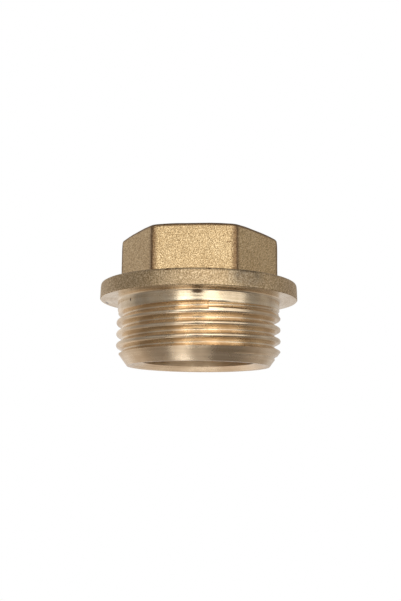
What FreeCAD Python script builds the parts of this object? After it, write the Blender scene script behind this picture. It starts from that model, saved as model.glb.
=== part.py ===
# Brass end cap for a pipe socket: one forging, turned and threaded on its outside.
#
# The cap stands on the narrow end face of its thread, hexagon up. The origin is the
# centre of that end face and +Z runs up the axis. One flat of the hexagon faces -Y.
# From the bottom: threaded barrel, plain shank, round flange, hexagon head. A blind
# bore with a wide countersink opens at the thread end. All sizes are in millimetres.

import FreeCAD, Part
import math
import os
import re

import Sketcher

Vector = FreeCAD.Vector

NODE = "end_cap"

# Driving dimensions: alias, value, what it is
DIMENSIONS = (
    ("barrel_length", 13.3, "end face to the underside of the flange"),
    ("thread_major", 33.249, "G 1 pipe thread, over the crests"),
    ("thread_pitch", 2.309, "eleven turns to the inch"),
    ("runout_bearing", 280.5, "degrees about +Z from +X to where the full-depth groove ends"),
    ("runout_step", 0.5, "how much shallower each step of the run-out is"),
    ("runout_span", 95.0, "degrees that each step of the run-out covers"),
    ("shank_drop", 0.2, "how far the plain shank lies inside the crests"),
    ("shank_length", 3.3, "plain shank below the flange"),
    ("shank_taper", 0.3, "height over which the thread's crests narrow to the shank"),
    ("shank_corner", 0.5, "bevel left by the tool between shank and flange"),
    ("end_chamfer", 2.2, "chamfer at the end of the thread, measured inwards from the crests"),
    ("end_chamfer_height", 3.0, "the same chamfer, measured up from the end face"),
    ("end_land", 0.6, "width of the end face"),
    ("countersink_width", 2.0, "width of the countersink inside the end face"),
    ("countersink_depth", 1.0, "depth of the countersink"),
    ("bore_stop", 0.6, "top of the flange above the floor of the bore"),
    ("bore_corner", 1.5, "bevel round the floor of the bore"),
    ("seat_width", 3.43, "flange outside the crests"),
    ("flange_thickness", 3.3, "thickness of the flange"),
    ("rim_draft", 0.12, "how much the rim leans in from its lower to its upper edge"),
    ("rim_corner", 0.45, "bevel on the upper edge of the rim"),
    ("hexagon_flats", 28.0, "hexagon across its flats"),
    ("hexagon_height", 9.9, "hexagon above the flange"),
    ("hexagon_corner", 0.6, "radius on the upright edges of the hexagon"),
    ("hexagon_top_round", 0.7, "radius round the top of the hexagon"),
    ("hexagon_root", 0.5, "radius where the hexagon meets the flange"),
)

# Proportions of the 55 degree thread form, in pitches. Crests and roots are left flat,
# at the height where their rounding touches them.
FORM_DEPTH = 0.640327
FORM_FLAT = "thread_pitch / 6"
FORM_HALF_ANGLE = 27.5

# How far the groove's outline reaches out past the crests, in mm
CUTTER_OVERHANG = 0.3
# The groove starts at least this far below the end face, in pitches
GROOVE_LEAD = 0.45
# The full-depth groove ends this far above the foot of the shank, in pitches
GROOVE_LAP = 0.152
# Steps in which the groove grows shallower before it ends
RUNOUT_STEPS = 2
# Degrees by which each step starts inside the groove before it
RUNOUT_OVERLAP = 6
# Slack when an edge is looked for by its place, in mm
NEAR = 0.02

# Radii and heights that follow from the driving dimensions
CREST_RADIUS = "thread_major / 2"
SHANK_RADIUS = f"({CREST_RADIUS} - shank_drop)"
END_RADIUS = f"({CREST_RADIUS} - end_chamfer)"
MOUTH_RADIUS = f"({END_RADIUS} - end_land)"
BORE_RADIUS = f"({MOUTH_RADIUS} - countersink_width)"
RIM_RADIUS = f"({CREST_RADIUS} + seat_width)"
RIM_TOP_RADIUS = f"({RIM_RADIUS} - rim_draft)"
HEXAGON_RADIUS = "(hexagon_flats / sqrt(3))"
FLANGE_TOP = "(barrel_length + flange_thickness)"
BORE_FLOOR = f"({FLANGE_TOP} - bore_stop)"
HEXAGON_TOP = f"({FLANGE_TOP} + hexagon_height)"
# Half of the ledge outside the hexagon's corners: no edge there is rounded by more
HALF_LEDGE = f"({RIM_TOP_RADIUS} - {HEXAGON_RADIUS}) / 2"

SHEET = "Dimensions"


def make_sheet(document):
    """Put the driving dimensions in a sheet, one row each."""
    sheet = document.addObject("Spreadsheet::Sheet", SHEET)
    sheet.Label = SHEET
    for row, (alias, value, meaning) in enumerate(DIMENSIONS, start=1):
        sheet.set(f"A{row}", alias)
        sheet.set(f"B{row}", str(value))
        sheet.set(f"C{row}", meaning)
        sheet.setAlias(f"B{row}", alias)
    document.recompute()


def sized(text):
    """Write an expression with each alias looked up in the sheet."""
    aliases = "|".join(alias for alias, _, _ in DIMENSIONS)
    return re.sub(rf"\b({aliases})\b", rf"{SHEET}.\1", text)


def new_sketch(body, name, role):
    """Add a sketch on one of the body's own origin planes."""
    plane = next(item for item in body.Origin.OriginFeatures if item.Role == role)
    sketch = body.newObject("Sketcher::SketchObject", name)
    sketch.AttachmentSupport = [(plane, "")]
    sketch.MapMode = "FlatFace"
    return sketch


def bind(sketch, kind, members, value, expression):
    """Add a size to a sketch and tie it to an expression of the sheet."""
    index = sketch.addConstraint(Sketcher.Constraint(kind, *members, value))
    sketch.setExpression(f"Constraints[{index}]", sized(expression))


# A sketch's own parts: its axes, its origin, and the points of an element
H_AXIS, V_AXIS = -1, -2
ORIGIN = (-1, 1)
POINT = {"start": 1, "end": 2, "centre": 3}


def join(sketch, one, following):
    """Let one side of an outline end where the following side starts."""
    sketch.addConstraint(
        Sketcher.Constraint("Coincident", one, POINT["end"], following, POINT["start"]))


def closed_outline(sketch, corners, value_of):
    """Draw straight sides through corners, each given by two expressions or by 0."""
    places = [Vector(value_of(across), value_of(up), 0) for across, up in corners]
    count = len(places)
    for index in range(count):
        sketch.addGeometry(Part.LineSegment(places[index], places[(index + 1) % count]))
    for index in range(count):
        previous = (index - 1) % count
        join(sketch, previous, index)
    for index, (across, up) in enumerate(corners):
        if across == "0":
            sketch.addConstraint(Sketcher.Constraint("PointOnObject", index, POINT["start"], V_AXIS))
        else:
            bind(sketch, "DistanceX", (*ORIGIN, index, POINT["start"]), places[index].x, across)
        if up == "0":
            sketch.addConstraint(Sketcher.Constraint("PointOnObject", index, POINT["start"], H_AXIS))
        else:
            bind(sketch, "DistanceY", (*ORIGIN, index, POINT["start"]), places[index].y, up)


def add_turning(body, value_of):
    """Barrel, shank and flange: one outline turned about the axis."""
    corners = (
        ("0", "0"),
        (END_RADIUS, "0"),
        (CREST_RADIUS, "end_chamfer_height"),
        (CREST_RADIUS, "barrel_length - shank_length - shank_taper"),
        (SHANK_RADIUS, "barrel_length - shank_length"),
        (SHANK_RADIUS, "barrel_length"),
        (RIM_RADIUS, "barrel_length"),
        (RIM_TOP_RADIUS, FLANGE_TOP),
        ("0", FLANGE_TOP),
    )
    sketch = new_sketch(body, "TurnedOutline", "XZ_Plane")
    closed_outline(sketch, corners, value_of)
    turning = body.newObject("PartDesign::Revolution", "Turning")
    turning.Profile = sketch
    turning.ReferenceAxis = (sketch, ["V_Axis"])
    turning.Angle = 360


def add_hexagon(body, value_of):
    """The hexagon head, from the top of the flange up."""
    sketch = new_sketch(body, "HexagonOutline", "XY_Plane")
    sketch.setExpression("AttachmentOffset.Base.z", sized(FLANGE_TOP))
    sides = 6
    corner_radius = value_of(HEXAGON_RADIUS)
    corners = []
    for index in range(sides):
        angle = 2 * math.pi * index / sides
        corners.append(Vector(corner_radius * math.cos(angle), corner_radius * math.sin(angle), 0))
    for index in range(sides):
        sketch.addGeometry(Part.LineSegment(corners[index], corners[(index + 1) % sides]))
    circle = sketch.addGeometry(Part.Circle(Vector(0, 0, 0), Vector(0, 0, 1), corner_radius), True)
    sketch.addConstraint(Sketcher.Constraint("Coincident", circle, POINT["centre"], *ORIGIN))
    bind(sketch, "Radius", (circle,), corner_radius, HEXAGON_RADIUS)
    for index in range(sides):
        following = (index + 1) % sides
        join(sketch, index, following)
        sketch.addConstraint(Sketcher.Constraint("PointOnObject", index, POINT["start"], circle))
        if index > 0:
            sketch.addConstraint(Sketcher.Constraint("Equal", 0, index))
    sketch.addConstraint(Sketcher.Constraint("PointOnObject", 0, POINT["start"], H_AXIS))
    head = body.newObject("PartDesign::Pad", "Hexagon")
    head.Profile = sketch
    head.setExpression("Length", sized("hexagon_height"))


def add_bore(body, value_of):
    """The blind bore and its countersink, turned out of the thread end."""
    corners = (
        ("0", "0"),
        (MOUTH_RADIUS, "0"),
        (BORE_RADIUS, "countersink_depth"),
        (BORE_RADIUS, BORE_FLOOR),
        ("0", BORE_FLOOR),
    )
    sketch = new_sketch(body, "BoreOutline", "XZ_Plane")
    closed_outline(sketch, corners, value_of)
    bore = body.newObject("PartDesign::Groove", "Bore")
    bore.Profile = sketch
    bore.ReferenceAxis = (sketch, ["V_Axis"])
    bore.Angle = 360


def groove_outline(body, name, value_of, held_out):
    """Section of one thread groove, in a plane through the axis.

    It is symmetrical about the sketch's horizontal axis. Its flanks run straight from
    the flat root out past the crests. held_out is how far it stays out from full depth.
    """
    sketch = new_sketch(body, name, "XZ_Plane")
    slope = f"tan({FORM_HALF_ANGLE} deg)"
    root = f"{CREST_RADIUS} - {FORM_DEPTH} * thread_pitch + {held_out}"
    outside = f"{CREST_RADIUS} + {CUTTER_OVERHANG} + {held_out}"
    root_width = FORM_FLAT
    outside_width = f"thread_pitch - {FORM_FLAT} + 2 * {CUTTER_OVERHANG} * {slope}"
    root_x = value_of(root)
    outside_x = value_of(outside)
    root_half = value_of(root_width) / 2
    outside_half = value_of(outside_width) / 2
    corners = [
        Vector(root_x, -root_half, 0),
        Vector(outside_x, -outside_half, 0),
        Vector(outside_x, outside_half, 0),
        Vector(root_x, root_half, 0),
    ]
    count = len(corners)
    for index in range(count):
        sketch.addGeometry(Part.LineSegment(corners[index], corners[(index + 1) % count]))
    for index in range(count):
        previous = (index - 1) % count
        join(sketch, previous, index)
    sketch.addConstraint(Sketcher.Constraint("Symmetric", 0, POINT["start"], 3, POINT["start"], H_AXIS))
    sketch.addConstraint(Sketcher.Constraint("Symmetric", 1, POINT["start"], 2, POINT["start"], H_AXIS))
    bind(sketch, "DistanceX", (*ORIGIN, 0, POINT["start"]), root_x, root)
    bind(sketch, "DistanceX", (*ORIGIN, 1, POINT["start"]), outside_x, outside)
    bind(sketch, "DistanceY", (0, POINT["start"], 3, POINT["start"]), 2 * root_half, root_width)
    bind(sketch, "DistanceY", (1, POINT["start"], 2, POINT["start"]), 2 * outside_half, outside_width)
    return sketch


def cut_groove(body, value_of, name, held_out, bearing, height, turns):
    """Cut a helical groove that starts at a bearing and a height."""
    outline = groove_outline(body, f"{name}Outline", value_of, held_out)
    outline.AttachmentOffset = FreeCAD.Placement(Vector(0, 0, 0), Vector(0, 1, 0), 1)
    outline.setExpression("AttachmentOffset.Base.y", sized(height))
    outline.setExpression("AttachmentOffset.Rotation.Angle", sized(bearing))
    groove = body.newObject("PartDesign::SubtractiveHelix", name)
    groove.Profile = outline
    groove.ReferenceAxis = (outline, ["V_Axis"])
    groove.Mode = "pitch-turns-angle"
    groove.setExpression("Pitch", sized("thread_pitch"))
    groove.setExpression("Turns", sized(turns))


def add_thread(body, value_of):
    """The thread: a full-depth groove, and shallower steps in which it runs out at the shank."""
    full_depth_end = f"(barrel_length - shank_length + {GROOVE_LAP} * thread_pitch)"
    turns = f"ceil({full_depth_end} / thread_pitch + {GROOVE_LEAD})"
    start = f"{full_depth_end} - thread_pitch * {turns}"
    for step in range(RUNOUT_STEPS, 0, -1):
        passed = f"({step - 1} * runout_span - {RUNOUT_OVERLAP})"
        cut_groove(
            body, value_of, f"Runout{step}",
            f"{step} * runout_step",
            f"runout_bearing + {passed}",
            f"{full_depth_end} + thread_pitch * {passed} / 360",
            f"(runout_span + {RUNOUT_OVERLAP}) / 360")
    cut_groove(body, value_of, "Thread", "0", "runout_bearing", start, turns)


def edges_where(shape, test):
    """Names of a shape's edges whose end and middle points all pass a test."""
    names = []
    for index, edge in enumerate(shape.Edges, start=1):
        if edge.Length < NEAR:
            continue
        places = [vertex.Point for vertex in edge.Vertexes]
        places.append(edge.valueAt((edge.FirstParameter + edge.LastParameter) / 2))
        if all(test(place) for place in places):
            names.append(f"Edge{index}")
    return names


def dress(body, document, kind, name, width, test):
    """Round or bevel the edges of the body so far that pass a test."""
    document.recompute()
    base = body.Tip
    edges = edges_where(base.Shape, test)
    if not edges:
        raise RuntimeError(f"{name}: no edge found")
    dressing = body.newObject(f"PartDesign::{kind}", name)
    dressing.Base = (base, edges)
    dressing.setExpression("Radius" if kind == "Fillet" else "Size", sized(width))


def away(place):
    """Distance of a place from the axis."""
    return math.hypot(place.x, place.y)


def dress_edges(body, document, value_of):
    """The rounded and bevelled edges, each found by its place."""
    seat = value_of("barrel_length")
    shank = value_of(SHANK_RADIUS)
    flange_top = value_of(FLANGE_TOP)
    rim_top = value_of(RIM_TOP_RADIUS)
    floor = value_of(BORE_FLOOR)
    corner = value_of(HEXAGON_RADIUS)
    top = value_of(HEXAGON_TOP)

    def at_height(place, height):
        return abs(place.z - height) < NEAR

    def upright(place):
        return place.z > flange_top - NEAR and abs(away(place) - corner) < NEAR

    def rim(place):
        return at_height(place, flange_top) and abs(away(place) - rim_top) < NEAR

    def underside(place):
        return at_height(place, seat) and away(place) < shank + NEAR

    def bore_bottom(place):
        return at_height(place, floor)

    def hexagon_top(place):
        return at_height(place, top)

    def hexagon_foot(place):
        return at_height(place, flange_top) and away(place) < corner + NEAR

    for kind, name, width, test in (
        ("Fillet", "HexagonCorners", "hexagon_corner", upright),
        ("Fillet", "HexagonTop", "hexagon_top_round", hexagon_top),
        ("Fillet", "HexagonRoot", f"min(hexagon_root; {HALF_LEDGE})", hexagon_foot),
        ("Chamfer", "RimEdge", f"min(rim_corner; {HALF_LEDGE})", rim),
        ("Chamfer", "ShankCorner", "shank_corner", underside),
        ("Chamfer", "BoreCorner", "bore_corner", bore_bottom),
    ):
        dress(body, document, kind, name, width, test)


def check(document, body):
    """Stop if any feature failed or the solid is unsound."""
    document.recompute()
    for item in document.Objects:
        if "Invalid" in item.State or "Error" in item.State:
            raise RuntimeError(f"{item.Name} failed: {item.State}")
    shape = body.Shape
    if shape.isNull() or not shape.isValid():
        raise RuntimeError(f"{body.Label} has no sound shape")
    if len(shape.Solids) != 1:
        raise RuntimeError(f"{body.Label} is {len(shape.Solids)} solids")


def cut(document, body, name, make, value_of):
    """Make a cut, and stop if it took nothing away."""
    document.recompute()
    before = body.Shape.Volume
    make(body, value_of)
    document.recompute()
    if body.Shape.Volume > before - NEAR:
        raise RuntimeError(f"{name} cut nothing")


def main():
    document = FreeCAD.newDocument("EndCap")
    make_sheet(document)

    def value_of(expression):
        """Work an expression out with the sheet's numbers."""
        return float(document.getObject(SHEET).evalExpression(sized(expression)))

    body = document.addObject("PartDesign::Body", "EndCap")
    body.Label = NODE
    add_turning(body, value_of)
    add_hexagon(body, value_of)
    cut(document, body, "bore", add_bore, value_of)
    dress_edges(body, document, value_of)
    cut(document, body, "thread", add_thread, value_of)
    check(document, body)

    os.makedirs("parts", exist_ok=True)
    body.Shape.exportStep(os.path.join("parts", f"{body.Label}.step"))
    box = body.Shape.optimalBoundingBox(False)
    print(f"{body.Label}: {box.XLength:.2f} x {box.YLength:.2f} x {box.ZLength:.2f} mm,"
          f" {body.Shape.Volume:.0f} mm3, {len(body.Shape.Faces)} faces")


main()
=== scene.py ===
import math

import bpy
import numpy as np
from mathutils import Matrix, Vector, noise


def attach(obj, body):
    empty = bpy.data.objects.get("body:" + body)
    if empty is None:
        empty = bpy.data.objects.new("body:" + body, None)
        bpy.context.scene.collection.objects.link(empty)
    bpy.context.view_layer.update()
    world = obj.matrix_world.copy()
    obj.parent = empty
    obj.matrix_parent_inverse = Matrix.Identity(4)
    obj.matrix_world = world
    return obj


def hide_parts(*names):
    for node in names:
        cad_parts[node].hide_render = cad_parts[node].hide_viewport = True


# The brass end cap as it looks: one closed skin over the CAD solid, with rounded crests
# and roots on the thread and the uneven faces of a blasted forging. The lengths here are
# millimetres until the mesh is made. +Z runs up the axis, and bearings are degrees about
# +Z from +X.

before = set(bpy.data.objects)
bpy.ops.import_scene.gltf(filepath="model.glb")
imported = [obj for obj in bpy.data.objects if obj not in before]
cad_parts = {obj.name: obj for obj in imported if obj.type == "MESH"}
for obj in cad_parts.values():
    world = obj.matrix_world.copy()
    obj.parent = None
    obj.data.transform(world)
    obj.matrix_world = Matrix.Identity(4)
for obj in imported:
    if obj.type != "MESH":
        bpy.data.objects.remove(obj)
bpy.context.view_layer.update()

MM = 0.001

# Sizes of the cap, the same as in the CAD
THREAD_MAJOR = 33.249
PITCH = 2.309
BARREL_LENGTH = 13.3
SHANK_DROP = 0.2
SHANK_LENGTH = 3.3
SHANK_TAPER = 0.3
END_CHAMFER = 2.2
CHAMFER_TOP = 3.0
END_LAND = 0.6
COUNTERSINK_WIDTH = 2.0
COUNTERSINK_DEPTH = 1.0
BORE_STOP = 0.6
BORE_BEVEL = 1.5
SEAT_WIDTH = 3.43
FLANGE_THICKNESS = 3.3
RIM_DRAFT = 0.12
HEXAGON_FLATS = 28.0
HEXAGON_HEIGHT = 9.9
HEXAGON_CORNER = 0.6
HEXAGON_TOP_ROUND = 0.7
HEXAGON_ROOT = 0.5

# Radii and heights that follow from them
CREST_RADIUS = THREAD_MAJOR / 2
SHANK_RADIUS = CREST_RADIUS - SHANK_DROP
END_RADIUS = CREST_RADIUS - END_CHAMFER
MOUTH_RADIUS = END_RADIUS - END_LAND
BORE_RADIUS = MOUTH_RADIUS - COUNTERSINK_WIDTH
RIM_RADIUS = CREST_RADIUS + SEAT_WIDTH
RIM_TOP_RADIUS = RIM_RADIUS - RIM_DRAFT
SHANK_FOOT = BARREL_LENGTH - SHANK_LENGTH
FLANGE_TOP = BARREL_LENGTH + FLANGE_THICKNESS
BORE_FLOOR = FLANGE_TOP - BORE_STOP
HEXAGON_APOTHEM = HEXAGON_FLATS / 2
HEXAGON_TOP = FLANGE_TOP + HEXAGON_HEIGHT

# Edges that are plain bevels or sharp in the CAD
SHANK_CORNER = 0.55
RIM_ROUND = 0.55
SEAT_EDGE = 0.12

# How the hexagon's corners fall away outside a radius and grow rounder towards its top
CROWN_RADIUS = 13.9
CROWN_SLOPE = 0.14
CROWN_FOOT = 23.0
TOP_CORNER = 1.6
CORNER_BLEND = 2.0

# Rings on the flat top of the hexagon, as shares of its size
TOP_RINGS = (0.06, 0.2, 0.36, 0.52, 0.68, 0.82, 0.93)

# Radii of the rings on the floor of the bore
FLOOR_RINGS = (8.0, 5.5, 3.0, 1.0)

# A shallow neck at the foot of the shank, as (height above the foot, depth)
NECK = ((0.0, 0.02), (0.42, 0.14), (0.68, 0.15), (1.16, 0.0))

# Bends of the turned blank's outline, from the thread's end up, as (height, radius)
BLANK = (
    (0.0, END_RADIUS),
    (CHAMFER_TOP, CREST_RADIUS),
    (SHANK_FOOT - SHANK_TAPER, CREST_RADIUS),
    *((SHANK_FOOT + rise, SHANK_RADIUS - depth) for rise, depth in NECK),
)

# The groove: where its full depth ends, a share of a pitch above the foot of the shank,
# and how it steps out there and then grows shallower over a span of degrees
GROOVE_END_BEARING = 280.5
GROOVE_LAP = 0.152
GROOVE_END_HEIGHT = SHANK_FOOT + GROOVE_LAP * PITCH
RUNOUT_STEP = 0.45
RUNOUT_SPAN = 190.0

# The 55 degree thread form. Its roots have the standard's rounding, and its crests are
# worn rounder, which makes the groove shallower than the standard's.
FLANK_DEGREES = 27.5
FLANK_ANGLE = math.radians(FLANK_DEGREES)
ROOT_ROUND = 0.137329 * PITCH
CREST_ROUND = 0.225 * PITCH
SHARP_DEPTH = PITCH / 2 / math.tan(FLANK_ANGLE)
GROOVE_DEPTH = SHARP_DEPTH - (ROOT_ROUND + CREST_ROUND) * (1.0 / math.sin(FLANK_ANGLE) - 1.0)

# The rows of the mesh follow the helix between these heights, and keep off the rings there
THREAD_BOTTOM = 0.28
THREAD_TOP = 12.3
ROW_MARGIN = 0.02

# Looking for creases down a column: how fine, and what counts as standing proud
CREASE_STEP = 0.004
PROUD = 1e-5
CLEARLY_PROUD = 0.01

# Columns round the mesh, and degrees from the groove's end to the ones beside it
SIDES = 6
SECTOR = 360.0 / SIDES
ARC_STEPS = 8
FLAT_STEPS = 46
END_SPREAD = 0.12

# Edges sharper than this stay sharp in the shading
SHARP_ANGLE = math.radians(34.0)

# Unevenness of the forging: depths, and waves to the millimetre
WIDE_DEPTH = 0.020
WIDE_WAVES = 0.22
CLOSE_DEPTH = 0.010
CLOSE_WAVES = 0.9
CLOSE_SHIFT = Vector((7.0, 3.0, 5.0))

# Finishes, in the order of the materials, and the height above which the shank is TURNED
BLASTED, TURNED, THREADED, BORED = range(4)
TURNED_FROM = SHANK_FOOT + 0.9


def steps(first, last, count):
    """count + 1 evenly spaced numbers from first to last."""
    return [first + (last - first) * index / count for index in range(count + 1)]


# Columns
# Every ring of the skin has the same columns. Each runs down a corner of the hexagon, at
# an angle of its rounding, or down a flat, at a share of its half width.

def make_columns():
    """Columns as (side, on a corner, angle on it or share of the flat)."""
    end_side = int(GROOVE_END_BEARING // SECTOR)
    end_offset = GROOVE_END_BEARING - (end_side + 0.5) * SECTOR
    half_flat = (HEXAGON_APOTHEM - HEXAGON_CORNER) * math.tan(math.radians(SECTOR / 2))
    columns = []
    for side in range(SIDES):
        for angle in steps(-SECTOR / 2, SECTOR / 2, ARC_STEPS):
            columns.append((side, True, math.radians(angle)))
        shares = steps(-1.0, 1.0, FLAT_STEPS)[1:-1]
        if side == end_side:
            for offset in (end_offset - END_SPREAD, end_offset + END_SPREAD):
                shares.append(HEXAGON_APOTHEM * math.tan(math.radians(offset)) / half_flat)
        for share in sorted(shares):
            columns.append((side, False, share))
    return columns


COLUMNS = make_columns()
COUNT = len(COLUMNS)


def hexagon(apothem, corner):
    """Ring on a hexagon with rounded corners."""
    places = []
    half_sector = math.radians(SECTOR / 2)
    for side, on_corner, share in COLUMNS:
        bearing = math.radians(side * SECTOR)
        if on_corner:
            reach = (apothem - corner) / math.cos(half_sector)
            places.append((
                reach * math.cos(bearing) + corner * math.cos(bearing + share),
                reach * math.sin(bearing) + corner * math.sin(bearing + share)))
        else:
            facing = bearing + half_sector
            along = share * (apothem - corner) * math.tan(half_sector)
            places.append((
                apothem * math.cos(facing) - along * math.sin(facing),
                apothem * math.sin(facing) + along * math.cos(facing)))
    return np.array(places)


BASE_RING = hexagon(HEXAGON_APOTHEM, HEXAGON_CORNER)
BEARINGS = np.unwrap(np.arctan2(BASE_RING[:, 1], BASE_RING[:, 0]))
UNIT_RING = np.stack([np.cos(BEARINGS), np.sin(BEARINGS)], axis=1)


def circle(radius):
    """Ring on a circle about the axis."""
    return UNIT_RING * radius


# The skin

class Skin:
    """Vertices and faces, added from the top of the cap round to the floor of its bore."""

    def __init__(self):
        self.places = []
        self.faces = []
        self.finishes = []
        self.last = None

    def ring(self, outline, height, finish):
        """Add a ring and the band that joins it to the one before."""
        start = len(self.places)
        heights = np.broadcast_to(height, COUNT)
        for (x, y), z in zip(outline, heights):
            self.places.append((x, y, z))
        fresh = list(range(start, start + COUNT))
        if self.last is not None:
            self.band(self.last, fresh, finish)
        self.last = fresh

    def pole(self, height, finish):
        """Close the skin at the axis, before the first ring or after the last."""
        self.places.append((0.0, 0.0, height))
        centre = [len(self.places) - 1] * COUNT
        if self.last is None:
            self.last = centre
        else:
            self.band(self.last, centre, finish)

    def band(self, above, below, finish):
        """Join two rings, given by their vertices."""
        for column in range(COUNT):
            following = (column + 1) % COUNT
            self.face((above[column], below[column], below[following], above[following]), finish)

    def face(self, corners, finish):
        """Add a face, without the corners that repeat the one before them."""
        kept = [corner for index, corner in enumerate(corners) if corner != corners[index - 1]]
        if len(set(kept)) >= 3:
            self.faces.append(kept)
            self.finishes.append(finish)


def crowned(outline, height):
    """Heights of a ring of the hexagon, lowered towards the corners near its top."""
    reach = np.hypot(outline[:, 0], outline[:, 1])
    share = (height - CROWN_FOOT) / (HEXAGON_TOP - CROWN_FOOT)
    return height - CROWN_SLOPE * np.maximum(reach - CROWN_RADIUS, 0.0) * min(max(share, 0.0), 1.0) ** 2


def add_hexagon(skin):
    """The hexagon, from the middle of its top down to the flange."""
    skin.pole(HEXAGON_TOP, BLASTED)
    flat = HEXAGON_APOTHEM - HEXAGON_TOP_ROUND
    for share in TOP_RINGS:
        outline = hexagon(flat * share, TOP_CORNER * share)
        skin.ring(outline, crowned(outline, HEXAGON_TOP), BLASTED)

    upright = HEXAGON_TOP - HEXAGON_TOP_ROUND
    blended = upright - CORNER_BLEND
    rings = []
    for turn in steps(90.0, 0.0, 7):
        inset = HEXAGON_TOP_ROUND * (1.0 - math.cos(math.radians(turn)))
        drop = HEXAGON_TOP_ROUND * (1.0 - math.sin(math.radians(turn)))
        rings.append((inset, HEXAGON_TOP - drop))
    rings += [(0.0, height) for height in steps(upright, blended, 8)[1:]]
    for inset, height in rings:
        share = max(1.0 - (HEXAGON_TOP - height) / (HEXAGON_TOP - blended), 0.0)
        corner = HEXAGON_CORNER + (TOP_CORNER - HEXAGON_CORNER) * share ** 2
        outline = hexagon(HEXAGON_APOTHEM - inset, corner)
        skin.ring(outline, crowned(outline, height), BLASTED)

    foot = FLANGE_TOP + HEXAGON_ROOT
    for height in steps(blended, foot, 12)[1:]:
        skin.ring(BASE_RING, crowned(BASE_RING, height), BLASTED)
    for turn in steps(0.0, 90.0, 5)[1:]:
        spread = HEXAGON_ROOT * (1.0 - math.cos(math.radians(turn)))
        height = foot - HEXAGON_ROOT * math.sin(math.radians(turn))
        skin.ring(hexagon(HEXAGON_APOTHEM + spread, HEXAGON_CORNER + spread), height, BLASTED)


def add_rim(skin):
    """The flange's top and rim, down to its lower edge."""
    inner = hexagon(HEXAGON_APOTHEM + HEXAGON_ROOT, HEXAGON_CORNER + HEXAGON_ROOT)
    outer = circle(RIM_TOP_RADIUS - RIM_ROUND)
    for share in steps(0.0, 1.0, 6)[1:]:
        skin.ring(inner + (outer - inner) * share, FLANGE_TOP, BLASTED)
    for turn in steps(90.0, 0.0, 5)[1:]:
        out = RIM_TOP_RADIUS - RIM_ROUND * (1.0 - math.cos(math.radians(turn)))
        height = FLANGE_TOP - RIM_ROUND * (1.0 - math.sin(math.radians(turn)))
        skin.ring(circle(out), height, BLASTED)
    for height in steps(FLANGE_TOP - RIM_ROUND, BARREL_LENGTH + SEAT_EDGE, 8)[1:]:
        lean = RIM_DRAFT * (FLANGE_TOP - height) / FLANGE_THICKNESS
        skin.ring(circle(RIM_TOP_RADIUS + lean), height, BLASTED)
    skin.ring(circle(RIM_RADIUS - SEAT_EDGE), BARREL_LENGTH, BLASTED)


def add_underside(skin):
    """Turned face under the flange, and the hollow corner at the shank."""
    corner_edge = SHANK_RADIUS + SHANK_CORNER
    for radius in steps(RIM_RADIUS - SEAT_EDGE, corner_edge, 5)[1:]:
        skin.ring(circle(radius), BARREL_LENGTH, TURNED)
    for turn in steps(0.0, 90.0, 6)[1:]:
        radius = corner_edge - SHANK_CORNER * math.sin(math.radians(turn))
        height = BARREL_LENGTH - SHANK_CORNER * (1.0 - math.cos(math.radians(turn)))
        skin.ring(circle(radius), height, TURNED)


def blank_radius(height):
    """Radius of the turned blank, before the thread was cut."""
    heights, radii = zip(*BLANK)
    return np.interp(height, heights, radii)


def groove_radius(bearing, height):
    """Radius of the thread's groove at bearings in degrees and heights."""
    turned = bearing - GROOVE_END_BEARING
    risen = (height - GROOVE_END_HEIGHT) / PITCH - turned / 360.0
    turns = np.round(risen)
    passed = turned + 360.0 * turns
    across = np.abs(risen - turns) * PITCH
    arc = ROOT_ROUND * math.cos(FLANK_ANGLE)
    arc_depth = ROOT_ROUND * (1.0 - math.sin(FLANK_ANGLE))
    on_root = ROOT_ROUND - np.sqrt(ROOT_ROUND ** 2 - np.minimum(across, arc) ** 2)
    on_flank = arc_depth + (across - arc) / math.tan(FLANK_ANGLE)
    sharp = CREST_RADIUS - GROOVE_DEPTH + np.where(across < arc, on_root, on_flank)
    crest = PITCH / 2 - across
    crest_arc = CREST_ROUND * math.cos(FLANK_ANGLE)
    on_crest = CREST_ROUND - np.sqrt(CREST_ROUND ** 2 - np.minimum(crest, crest_arc) ** 2)
    full = np.where(crest < crest_arc, CREST_RADIUS - on_crest, sharp)
    held_out = RUNOUT_STEP + (GROOVE_DEPTH - RUNOUT_STEP) * passed / RUNOUT_SPAN
    return np.where(passed > 0.0, sharp + held_out, full)


def row_heights():
    """Heights of one pitch of rows above a root, in pitches."""
    turns = [math.sin(math.radians(turn)) for turn in steps(0.0, 90.0 - FLANK_DEGREES, 5)]
    root = [ROOT_ROUND / PITCH * share for share in turns]
    crest = [0.5 - CREST_ROUND / PITCH * share for share in reversed(turns)]
    half = root + [(root[-1] + crest[0]) / 2] + crest
    return half[:-1] + [1.0 - place for place in reversed(half[1:])]


def snap(places, creases):
    """Move the nearest of a column's rows onto each crease."""
    taken = set()
    for crease in creases:
        order = np.argsort(np.abs(places - crease))[:2]
        for row in order:
            if row not in taken:
                places[row] = crease
                taken.add(row)
                break


def column_creases(bearing):
    """Heights at which a column passes from the groove to the blank or over a bend of it."""
    heights = np.arange(THREAD_BOTTOM, THREAD_TOP, CREASE_STEP)
    gap = groove_radius(bearing, heights) - blank_radius(heights)
    outside = gap > PROUD
    places = []
    for index in np.nonzero(outside[1:] != outside[:-1])[0]:
        low = gap[index]
        high = gap[index + 1]
        share = low / (low - high) if low != high else 0.5
        places.append(heights[index] + CREASE_STEP * min(max(share, 0.0), 1.0))
    for bend, _ in BLANK[1:]:
        if groove_radius(bearing, np.array([bend]))[0] > blank_radius(bend) + CLEARLY_PROUD:
            places.append(bend)
    return sorted(places)


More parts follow.
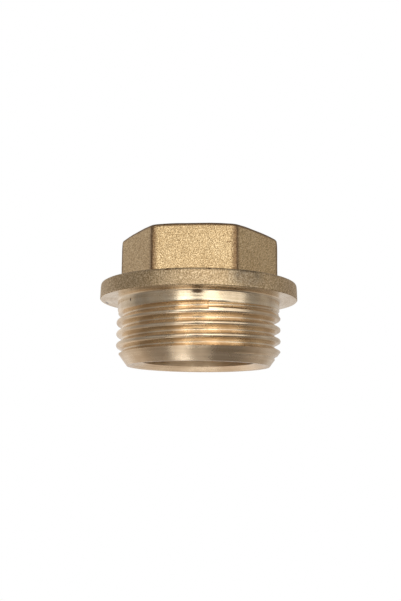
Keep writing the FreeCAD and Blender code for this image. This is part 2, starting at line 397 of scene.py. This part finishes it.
def add_thread(skin):
    """Thread and shank: rows that follow the helix, between a ring on the shank and one
    on the end chamfer."""
    skin.ring(circle(SHANK_RADIUS), THREAD_TOP, TURNED)
    top_ring = skin.last
    skin.last = None
    skin.ring(circle(blank_radius(THREAD_BOTTOM)), THREAD_BOTTOM, TURNED)
    bottom_ring = skin.last

    in_pitch = row_heights()
    per_turn = len(in_pitch)
    turned = (np.degrees(BEARINGS) - GROOVE_END_BEARING) / 360.0
    lowest = math.floor((THREAD_BOTTOM - GROOVE_END_HEIGHT) / PITCH - turned.max()) - 1
    highest = math.ceil((THREAD_TOP - GROOVE_END_HEIGHT) / PITCH - turned.min()) + 1
    levels = np.array([turn + place for turn in range(lowest, highest) for place in in_pitch])

    rows = []
    for column in range(COUNT):
        heights = GROOVE_END_HEIGHT + PITCH * (levels + turned[column])
        below = heights <= THREAD_BOTTOM + ROW_MARGIN
        inside = ~below & (heights < THREAD_TOP - ROW_MARGIN)
        bearing = math.degrees(BEARINGS[column])
        own = heights[inside].copy()
        snap(own, column_creases(bearing))
        radii = np.minimum(groove_radius(bearing, own), blank_radius(own))
        start = len(skin.places)
        for radius, height in zip(radii, own):
            skin.places.append((UNIT_RING[column, 0] * radius, UNIT_RING[column, 1] * radius, height))
        indices = np.where(below, bottom_ring[column], top_ring[column])
        indices[inside] = np.arange(start, start + len(own))
        rows.append(indices.tolist())

    # The last column meets the first one a whole turn, and so a pitch, further on
    rows.append(rows[0][per_turn:] + [top_ring[0]] * per_turn)
    for column in range(COUNT):
        here = rows[column]
        there = rows[column + 1]
        for row in range(len(levels) - 1):
            middle = GROOVE_END_HEIGHT + PITCH * (levels[row] + turned[column])
            shown = TURNED if middle > TURNED_FROM else THREADED
            skin.face((here[row + 1], here[row], there[row], there[row + 1]), shown)
    skin.last = bottom_ring


def add_end(skin):
    """End chamfer's foot, end face, countersink and bore."""
    skin.ring(circle(END_RADIUS), 0.0, THREADED)
    for radius in steps(END_RADIUS, MOUTH_RADIUS, 2)[1:]:
        skin.ring(circle(radius), 0.0, THREADED)
    for share in steps(0.0, 1.0, 4)[1:]:
        skin.ring(circle(MOUTH_RADIUS - COUNTERSINK_WIDTH * share), COUNTERSINK_DEPTH * share, THREADED)
    bevel = BORE_FLOOR - BORE_BEVEL
    for height in steps(COUNTERSINK_DEPTH, bevel, 8)[1:]:
        skin.ring(circle(BORE_RADIUS), height, BORED)
    for share in steps(0.0, 1.0, 3)[1:]:
        skin.ring(circle(BORE_RADIUS - BORE_BEVEL * share), bevel + BORE_BEVEL * share, BORED)
    for radius in FLOOR_RINGS:
        skin.ring(circle(radius), BORE_FLOOR, BORED)
    skin.pole(BORE_FLOOR, BORED)


def forge(mesh, finishes):
    """Make the blasted faces slightly uneven, always inwards."""
    blasted = set()
    other = set()
    for polygon, finish in zip(mesh.polygons, finishes):
        (blasted if finish == BLASTED else other).update(polygon.vertices)
    outward = [vertex.normal.copy() for vertex in mesh.vertices]
    for index in blasted - other:
        vertex = mesh.vertices[index]
        place = vertex.co / MM
        wide = noise.noise(place * WIDE_WAVES)
        close = noise.noise(place * CLOSE_WAVES + CLOSE_SHIFT)
        depth = WIDE_DEPTH + WIDE_DEPTH * wide + CLOSE_DEPTH * close
        vertex.co -= outward[index] * max(depth, 0.0) * MM


def make_cap():
    """The cap's skin as an object, without its materials."""
    skin = Skin()
    for add in (add_hexagon, add_rim, add_underside, add_thread, add_end):
        add(skin)
    mesh = bpy.data.meshes.new("end_cap_skin")
    mesh.from_pydata([Vector(place) * MM for place in skin.places], [], skin.faces)
    mesh.polygons.foreach_set("material_index", skin.finishes)
    mesh.update()
    forge(mesh, skin.finishes)
    mesh.polygons.foreach_set("use_smooth", [True] * len(mesh.polygons))
    mesh.set_sharp_from_angle(angle=SHARP_ANGLE)
    mesh.update()
    cap = bpy.data.objects.new("end_cap_skin", mesh)
    bpy.context.scene.collection.objects.link(cap)
    return cap


# Materials

class Nodes:
    """Short calls for building a metal out of nodes."""

    def __init__(self, name):
        self.material = bpy.data.materials.new(name)
        self.material.use_nodes = True
        self.tree = self.material.node_tree
        self.shader = self.tree.nodes["Principled BSDF"]
        self.shader.inputs["Metallic"].default_value = 1.0

    def add(self, kind, **settings):
        node = self.tree.nodes.new(f"ShaderNode{kind}")
        for name, value in settings.items():
            setattr(node, name, value)
        return node

    def link(self, source, target):
        self.tree.links.new(source, target)

    def object_place(self):
        return self.add("TexCoord").outputs["Object"]

    def split(self, vector):
        """The three parts of a vector."""
        node = self.add("SeparateXYZ")
        self.link(vector, node.inputs["Vector"])
        return node.outputs

    def math(self, operation, first, second=None):
        node = self.add("Math", operation=operation)
        for socket, value in zip(node.inputs, (first, second)):
            if value is None:
                continue
            if isinstance(value, (int, float)):
                socket.default_value = value
            else:
                self.link(value, socket)
        return node.outputs["Value"]

    def noise(self, place, scale, detail, roughness):
        node = self.add("TexNoise")
        node.inputs["Scale"].default_value = scale
        node.inputs["Detail"].default_value = detail
        node.inputs["Roughness"].default_value = roughness
        self.link(place, node.inputs["Vector"])
        return node.outputs["Fac"]

    def grade(self, value, low, high, start, end):
        """Stretch a value from the range low to high onto start to end."""
        node = self.add("MapRange")
        for name, number in (("From Min", low), ("From Max", high), ("To Min", start), ("To Max", end)):
            node.inputs[name].default_value = number
        self.link(value, node.inputs["Value"])
        return node.outputs["Result"]

    def past(self, length, limits):
        """0 up to the first of two lengths in millimetres, 1 from the second on."""
        low, high = limits
        return self.grade(length, low * MM, high * MM, 0.0, 1.0)

    def spot(self, place, centre, size):
        """1 inside a small oval mark on the surface, 0 away from it; lengths in millimetres."""
        centred = self.add("VectorMath", operation="SUBTRACT")
        self.link(place, centred.inputs[0])
        centred.inputs[1].default_value = Vector(centre) * MM
        scaled = self.add("VectorMath", operation="DIVIDE")
        self.link(centred.outputs["Vector"], scaled.inputs[0])
        scaled.inputs[1].default_value = Vector(size) * MM
        length = self.add("VectorMath", operation="LENGTH")
        self.link(scaled.outputs["Vector"], length.inputs[0])
        return self.grade(length.outputs["Value"], 1.0, 0.5, 0.0, 1.0)

    def marks(self, place, spots):
        """The strongest of several marks, each as (centre, size)."""
        strongest = None
        for centre, size in spots:
            mark = self.spot(place, centre, size)
            strongest = mark if strongest is None else self.math("MAXIMUM", strongest, mark)
        return strongest

    def multiply(self, colour, factor, tint):
        """Colour multiplied by a tint where the factor says so."""
        mix = self.add("Mix", data_type="RGBA", blend_type="MULTIPLY")
        self.link(factor, mix.inputs["Factor"])
        self.link(colour, mix.inputs["A"])
        mix.inputs["B"].default_value = (*tint, 1.0)
        return mix.outputs["Result"]

    def ramp(self, value, stops):
        """Colours by value, each stop as (value, colour)."""
        node = self.add("ValToRGB")
        elements = node.color_ramp.elements
        while len(elements) < len(stops):
            elements.new(0.5)
        for element, (place, colour) in zip(elements, stops):
            element.position = place
            element.color = (*colour, 1.0)
        self.link(value, node.inputs["Fac"])
        return node.outputs["Color"]

    def bump(self, height, distance, below=None):
        """Normals of a relief as deep as a distance in metres, on top of another one."""
        node = self.add("Bump")
        node.inputs["Strength"].default_value = 1.0
        node.inputs["Distance"].default_value = distance
        self.link(height, node.inputs["Height"])
        if below is not None:
            self.link(below, node.inputs["Normal"])
        return node.outputs["Normal"]


def round_axis(nodes, along):
    """Place as (distance from the axis, height, turn about the axis times along)."""
    x, y, z = nodes.split(nodes.object_place())
    squares = nodes.math("ADD", nodes.math("MULTIPLY", x, x), nodes.math("MULTIPLY", y, y))
    radius = nodes.math("SQRT", squares)
    turn = nodes.math("ARCTAN2", x, nodes.math("MULTIPLY", y, -1.0))
    joined = nodes.add("CombineXYZ")
    for source, target in zip((radius, z, nodes.math("MULTIPLY", turn, along)), joined.inputs):
        nodes.link(source, target)
    return joined.outputs["Vector"]


# Noise scales are in waves to the metre, and depths of relief in metres. ALONG is how many
# metres of noise a radian about the axis runs through: few, so that marks are drawn out.
# BROAD is the wider and deeper of the two sets of turning lines.
GRAIN_SCALE = 4300.0
GRAIN_DEPTH = 0.00005
PIT_SCALE = 1300.0
PIT_DEPTH = 0.00007
STAIN_SCALE = 160.0
RUBBING_SCALE = 420.0
RUBBING_ALONG = 0.012
SMEAR_SCALE = 260.0
LINE_DEPTH = 0.000014
LINE_ALONG = 0.0004
BROAD_SHARE = 0.22
BROAD_DEPTH = 1.6 * LINE_DEPTH

# Colours of the blasted grain, and the tints of stains, of painted shade on the edges and the rim, of rubbed
# places and of marks
GRAIN_COLOURS = (
    (0.35, (0.43, 0.30, 0.155)),
    (0.50, (0.69, 0.505, 0.275)),
    (0.63, (1.00, 0.80, 0.50)),
)
STAIN_TINT = (0.80, 0.74, 0.66)
# Painted shade on the hexagon's edges
EDGE_SHADE_TINT = (0.46, 0.40, 0.38)
# Painted shade on the rim: darker and cooler
RIM_SHADE_TINT = (0.86, 0.87, 0.94)
RUBBED_TINT = (0.50, 0.52, 0.58)
FORGING_MARK_TINT = (0.35, 0.27, 0.22)
SMEAR_TINT = (0.78, 0.70, 0.60)
DARK_MARK_AND_SHADE_TINT = (0.22, 0.18, 0.16)

# Where the painted shade on the edges and on the rim starts and is full, in millimetres: distances from the
# axis, and heights
CORNER_REACH = (15.58, 15.96)
RIM_REACH = (18.9, 19.7)
HEAD_HEIGHT = (16.9, 17.2)
TOP_HEIGHT = (25.1, 25.5)

# Small dark marks on the forging and on the turned faces, as (centre, size) in millimetres. Two on the
# turned faces are painted: a dark reflection in the hollow corner and the shade of a turned line.
FORGING_MARKS = (
    ((6.6, -14.0, 22.6), (0.75, 0.5, 0.16)),
    ((-4.4, -19.4, 16.35), (0.9, 0.8, 0.30)),
    ((3.3, -19.7, 16.40), (0.5, 0.6, 0.22)),
)
RUBBED_PATCHES = (
    ((10.4, -17.1, 15.1), (4.8, 3.9, 2.4)),
)
TURNED_MARKS_AND_SHADE = (
    # Painted dark reflection of the camera, in the hollow corner under the flange
    ((0.93, -16.4, 12.72), (1.35, 0.9, 0.42)),
    ((-19.15, 1.2, 13.3), (0.32, 1.7, 0.30)),
    ((-12.43, -10.74, 12.07), (0.30, 0.30, 0.40)),
    # Painted shade of a turned line across the front of the shank
    ((0.9, -16.4, 11.87), (1.5, 0.9, 0.07)),
)
THREAD_MARKS = (
    ((-11.96, -10.92, 9.60), (0.35, 0.35, 0.30)),
    ((15.03, -6.30, 10.74), (0.30, 0.45, 0.35)),
    ((2.98, -16.3, 10.20), (0.16, 0.50, 0.35)),
)

# The turned finishes: name, colours, roughness, scale of the lines, marks (on the turned brass these include
# a painted reflection and painted shade)
TURNED_FINISHES = (
    ("turned_brass", ((0.34, (0.74, 0.60, 0.42)), (0.66, (0.90, 0.77, 0.58))), 0.22, 9000.0, TURNED_MARKS_AND_SHADE),
    ("threaded_brass", ((0.34, (0.76, 0.61, 0.43)), (0.66, (0.94, 0.78, 0.58))), 0.26, 7000.0, THREAD_MARKS),
    ("bored_brass", ((0.30, (0.78, 0.62, 0.43)), (0.70, (0.92, 0.76, 0.55))), 0.34, 8000.0, ()),
)


def painted_edge_shade(nodes, reach, height):
    """Painted shade on the edges: 1 on the hexagon's upright corners and on the rounding of its top, 0
    elsewhere.
    """
    upright = nodes.math("MULTIPLY", nodes.past(reach, CORNER_REACH), nodes.past(height, HEAD_HEIGHT))
    facing_up = nodes.split(nodes.add("NewGeometry").outputs["Normal"])["Z"]
    rounding = nodes.math(
        "MULTIPLY",
        nodes.grade(facing_up, 0.04, 0.26, 0.0, 1.0),
        nodes.grade(facing_up, 0.90, 0.96, 1.0, 0.0))
    top = nodes.math("MULTIPLY", rounding, nodes.past(height, TOP_HEIGHT))
    return nodes.math("MAXIMUM", upright, top)


def blasted_brass():
    """The blasted forging: head, flange top and rim."""
    nodes = Nodes("blasted_brass")
    place = nodes.object_place()
    grain = nodes.noise(place, GRAIN_SCALE, detail=2.0, roughness=0.6)
    pits = nodes.noise(place, PIT_SCALE, detail=3.0, roughness=0.6)
    stain = nodes.noise(place, STAIN_SCALE, detail=3.0, roughness=0.5)
    reach, height, _ = nodes.split(round_axis(nodes, 0.0))

    colour = nodes.ramp(grain, GRAIN_COLOURS)
    colour = nodes.multiply(colour, nodes.grade(stain, 0.35, 0.65, 0.0, 0.35), STAIN_TINT)
    # Painted shade, darker on the hexagon's rounded upright corners and on the rounding of its top
    colour = nodes.multiply(colour, painted_edge_shade(nodes, reach, height), EDGE_SHADE_TINT)
    # Painted shade: the rim, past RIM_REACH from the axis, is darker and cooler
    colour = nodes.multiply(colour, nodes.past(reach, RIM_REACH), RIM_SHADE_TINT)
    rubbing = nodes.noise(round_axis(nodes, RUBBING_ALONG), RUBBING_SCALE, detail=3.0, roughness=0.6)
    rubbed = nodes.math(
        "MULTIPLY",
        nodes.marks(place, RUBBED_PATCHES),
        nodes.grade(rubbing, 0.35, 0.6, 0.5, 1.0))
    colour = nodes.multiply(colour, rubbed, RUBBED_TINT)
    colour = nodes.multiply(colour, nodes.marks(place, FORGING_MARKS), FORGING_MARK_TINT)
    nodes.link(colour, nodes.shader.inputs["Base Color"])

    nodes.link(nodes.grade(pits, 0.3, 0.7, 0.42, 0.60), nodes.shader.inputs["Roughness"])
    soft = nodes.bump(pits, PIT_DEPTH)
    nodes.link(nodes.bump(grain, GRAIN_DEPTH, below=soft), nodes.shader.inputs["Normal"])
    return nodes.material


def turned_brass(name, colours, rough, line_scale, spots):
    """Brass with the fine rings of a turning tool, smeared by handling."""
    nodes = Nodes(name)
    rings = round_axis(nodes, LINE_ALONG)
    lines = nodes.noise(rings, line_scale, detail=3.0, roughness=0.6)
    broad = nodes.noise(rings, line_scale * BROAD_SHARE, detail=2.0, roughness=0.5)
    smear = nodes.noise(nodes.object_place(), SMEAR_SCALE, detail=3.0, roughness=0.55)
    colour = nodes.ramp(broad, colours)
    colour = nodes.multiply(colour, nodes.grade(smear, 0.40, 0.62, 0.0, 0.45), SMEAR_TINT)
    if spots:
        # Dark spots, and on the turned brass also a painted reflection and painted shade
        colour = nodes.multiply(colour, nodes.marks(nodes.object_place(), spots), DARK_MARK_AND_SHADE_TINT)
    nodes.link(colour, nodes.shader.inputs["Base Color"])
    nodes.link(nodes.grade(smear, 0.3, 0.7, rough * 0.8, rough * 1.3), nodes.shader.inputs["Roughness"])
    deep = nodes.bump(broad, BROAD_DEPTH)
    nodes.link(nodes.bump(lines, LINE_DEPTH, below=deep), nodes.shader.inputs["Normal"])
    return nodes.material


# Stage: lengths in metres, and turns in degrees off the front, which is -Y

# Camera, fitted to the photo; the aim is off the point looked at, to the right and down
CAMERA_TURN = math.radians(4.0)
CAMERA_RISE = math.radians(-9.1)
CAMERA_DISTANCE = 0.176
CAMERA_ROLL = math.radians(0.5)
CAMERA_LENS = 51.5
LOOKED_AT = Vector((0.0, 0.0, 0.0143))
AIM_RIGHT = 0.00036
AIM_DOWN = 0.00072

# Colours of the lights
WARM = (1.0, 0.98, 0.94)
WARMER = (1.0, 0.96, 0.90)
COOL = (0.97, 0.99, 1.0)
WHITE = (1.0, 1.0, 1.0)

# Soft lights: name, turn, rise, distance, width, height, brightness, colour
PANELS = (
    ("left_panel", -15.5, 7.0, 0.40, 0.13, 0.38, 1.85, WARM),
    ("right_panel", 21.0, 7.0, 0.40, 0.15, 0.38, 2.0, WARM),
    ("far_right_panel", 50.0, 7.0, 0.40, 0.28, 0.38, 1.02, WARM),
    ("middle_panel", 2.0, 26.0, 0.42, 0.14, 0.28, 1.2, WARM),
    ("upper_panel", 15.0, 62.0, 0.45, 0.55, 0.20, 0.40, WARM),
    ("side_right_panel", 92.0, 7.0, 0.40, 0.34, 0.38, 0.17, WARMER),
    ("low_back_panel", 184.0, -61.0, 0.30, 0.06, 0.10, 0.55, COOL),
    ("low_left_panel", -33.0, -61.0, 0.30, 0.088, 0.25, 1.15, WHITE),
    ("low_slit_panel", 17.0, -61.0, 0.30, 0.016, 0.25, 1.5, WHITE),
    ("side_left_panel", -51.0, 7.0, 0.40, 0.24, 0.38, 0.085, WARMER),
)

FLOOR_HEIGHT = -0.20
FLOOR_HALF = 2.0


def away_from_cap(turn, rise):
    """Direction from the cap, from angles in radians."""
    return Vector((
        math.sin(turn) * math.cos(rise),
        -math.cos(turn) * math.cos(rise),
        math.sin(rise)))


def add_camera():
    toward = away_from_cap(CAMERA_TURN, CAMERA_RISE)
    right = Vector((math.cos(CAMERA_TURN), math.sin(CAMERA_TURN), 0.0))
    up = toward.cross(right)
    aim = LOOKED_AT + right * AIM_RIGHT - up * AIM_DOWN
    rolled_right = right * math.cos(CAMERA_ROLL) + up * math.sin(CAMERA_ROLL)
    rolled_up = up * math.cos(CAMERA_ROLL) - right * math.sin(CAMERA_ROLL)
    place = aim + toward * CAMERA_DISTANCE
    data = bpy.data.cameras.new("camera")
    data.lens = CAMERA_LENS
    data.sensor_width = 36.0
    data.clip_start = 0.005
    data.clip_end = 10.0
    camera = bpy.data.objects.new("camera", data)
    turned = Matrix((rolled_right, rolled_up, toward)).transposed().to_4x4()
    camera.matrix_world = Matrix.Translation(place) @ turned
    bpy.context.scene.collection.objects.link(camera)
    bpy.context.scene.camera = camera


def add_panel(name, turn, rise, distance, width, height, brightness, colour):
    """Soft light aimed at the middle of the cap, as bright to look at whatever its size."""
    away = away_from_cap(math.radians(turn), math.radians(rise))
    data = bpy.data.lights.new(name, "AREA")
    data.shape = "RECTANGLE"
    data.size = width
    data.size_y = height
    data.color = colour
    data.energy = brightness * width * height * math.pi
    light = bpy.data.objects.new(name, data)
    light.location = LOOKED_AT + away * distance
    light.rotation_euler = away.to_track_quat("Z", "Y").to_euler()
    bpy.context.scene.collection.objects.link(light)


def add_room(tree, around):
    """The room that the metal reflects: pale behind the cap, dim in front, warmer below."""
    place = tree.nodes.new("ShaderNodeTexCoord")
    direction = tree.nodes.new("ShaderNodeSeparateXYZ")
    tree.links.new(place.outputs["Generated"], direction.inputs["Vector"])

    def graded(part, low, high, start, end):
        """start to end, softly, as a part of the direction goes from low to high."""
        node = tree.nodes.new("ShaderNodeMapRange")
        node.interpolation_type = "SMOOTHSTEP"
        for name, number in (("From Min", low), ("From Max", high), ("To Min", start), ("To Max", end)):
            node.inputs[name].default_value = number
        tree.links.new(direction.outputs[part], node.inputs["Value"])
        return node.outputs["Result"]

    def combined(operation, first, second):
        node = tree.nodes.new("ShaderNodeMath")
        node.operation = operation
        tree.links.new(first, node.inputs[0])
        tree.links.new(second, node.inputs[1])
        return node.outputs["Value"]

    beside = graded("Y", 0.06, 0.26, 0.20, 0.45)
    behind = graded("Y", 0.26, 0.95, 0.0, 0.25)
    leftward = graded("X", -1.0, 1.0, 1.28, 0.70)
    upward = graded("Z", 0.35, 0.85, 1.0, 0.45)
    downward = graded("Z", -0.85, -0.35, 1.16, 1.0)
    level = combined("MULTIPLY", combined("ADD", beside, behind), leftward)
    tilted = combined("MULTIPLY", upward, downward)
    tree.links.new(combined("MULTIPLY", level, tilted), around.inputs["Strength"])
    tones = tree.nodes.new("ShaderNodeValToRGB")
    tones.color_ramp.elements[0].color = (1.0, 0.88, 0.78, 1.0)
    tones.color_ramp.elements[1].color = (1.0, 0.965, 0.95, 1.0)
    tree.links.new(graded("Z", -0.65, -0.20, 0.0, 1.0), tones.inputs["Fac"])
    tree.links.new(tones.outputs["Color"], around.inputs["Color"])


def show_camera(tree, seen, otherwise, surface):
    """Let the camera see one shader, and everything else another."""
    path = tree.nodes.new("ShaderNodeLightPath")
    mix = tree.nodes.new("ShaderNodeMixShader")
    tree.links.new(path.outputs["Is Camera Ray"], mix.inputs["Fac"])
    tree.links.new(otherwise, mix.inputs[1])
    tree.links.new(seen, mix.inputs[2])
    tree.links.new(mix.outputs["Shader"], surface)


def add_world():
    """White where the camera looks past the cap, and a room for the metal to reflect."""
    world = bpy.data.worlds.new("studio")
    bpy.context.scene.world = world
    world.use_nodes = True
    tree = world.node_tree
    seen = tree.nodes["Background"]
    seen.inputs["Color"].default_value = (1.0, 1.0, 1.0, 1.0)
    seen.inputs["Strength"].default_value = 1.0
    around = tree.nodes.new("ShaderNodeBackground")
    add_room(tree, around)
    show_camera(tree, seen.outputs["Background"], around.outputs["Background"],
                tree.nodes["World Output"].inputs["Surface"])


def pale_floor():
    """Matt and nearly white, but pure white to the camera."""
    material = bpy.data.materials.new("pale_floor")
    material.use_nodes = True
    tree = material.node_tree
    shader = tree.nodes["Principled BSDF"]
    shader.inputs["Roughness"].default_value = 0.9
    mottle = tree.nodes.new("ShaderNodeTexNoise")
    mottle.inputs["Scale"].default_value = 6.0
    tones = tree.nodes.new("ShaderNodeValToRGB")
    tones.color_ramp.elements[0].color = (0.86, 0.86, 0.85, 1.0)
    tones.color_ramp.elements[1].color = (0.90, 0.90, 0.89, 1.0)
    tree.links.new(mottle.outputs["Fac"], tones.inputs["Fac"])
    tree.links.new(tones.outputs["Color"], shader.inputs["Base Color"])
    white = tree.nodes.new("ShaderNodeEmission")
    white.inputs["Strength"].default_value = 1.0
    show_camera(tree, white.outputs["Emission"], shader.outputs["BSDF"],
                tree.nodes["Material Output"].inputs["Surface"])
    return material


def add_floor():
    """The floor is well below the camera, which looks up at the cap."""
    signs = ((-1, -1), (1, -1), (1, 1), (-1, 1))
    corners = [(x * FLOOR_HALF, y * FLOOR_HALF, FLOOR_HEIGHT) for x, y in signs]
    mesh = bpy.data.meshes.new("floor")
    mesh.from_pydata(corners, [], [(0, 1, 2, 3)])
    floor = bpy.data.objects.new("floor", mesh)
    bpy.context.scene.collection.objects.link(floor)
    mesh.materials.append(pale_floor())
    floor.visible_glossy = False


def main():
    cap = make_cap()
    cap.data.materials.append(blasted_brass())
    for finish in TURNED_FINISHES:
        cap.data.materials.append(turned_brass(*finish))
    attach(cap, "root")
    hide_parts("end_cap")

    add_floor()
    add_world()
    for panel in PANELS:
        add_panel(*panel)
    add_camera()
    bpy.context.scene.view_settings.view_transform = "Standard"


main()
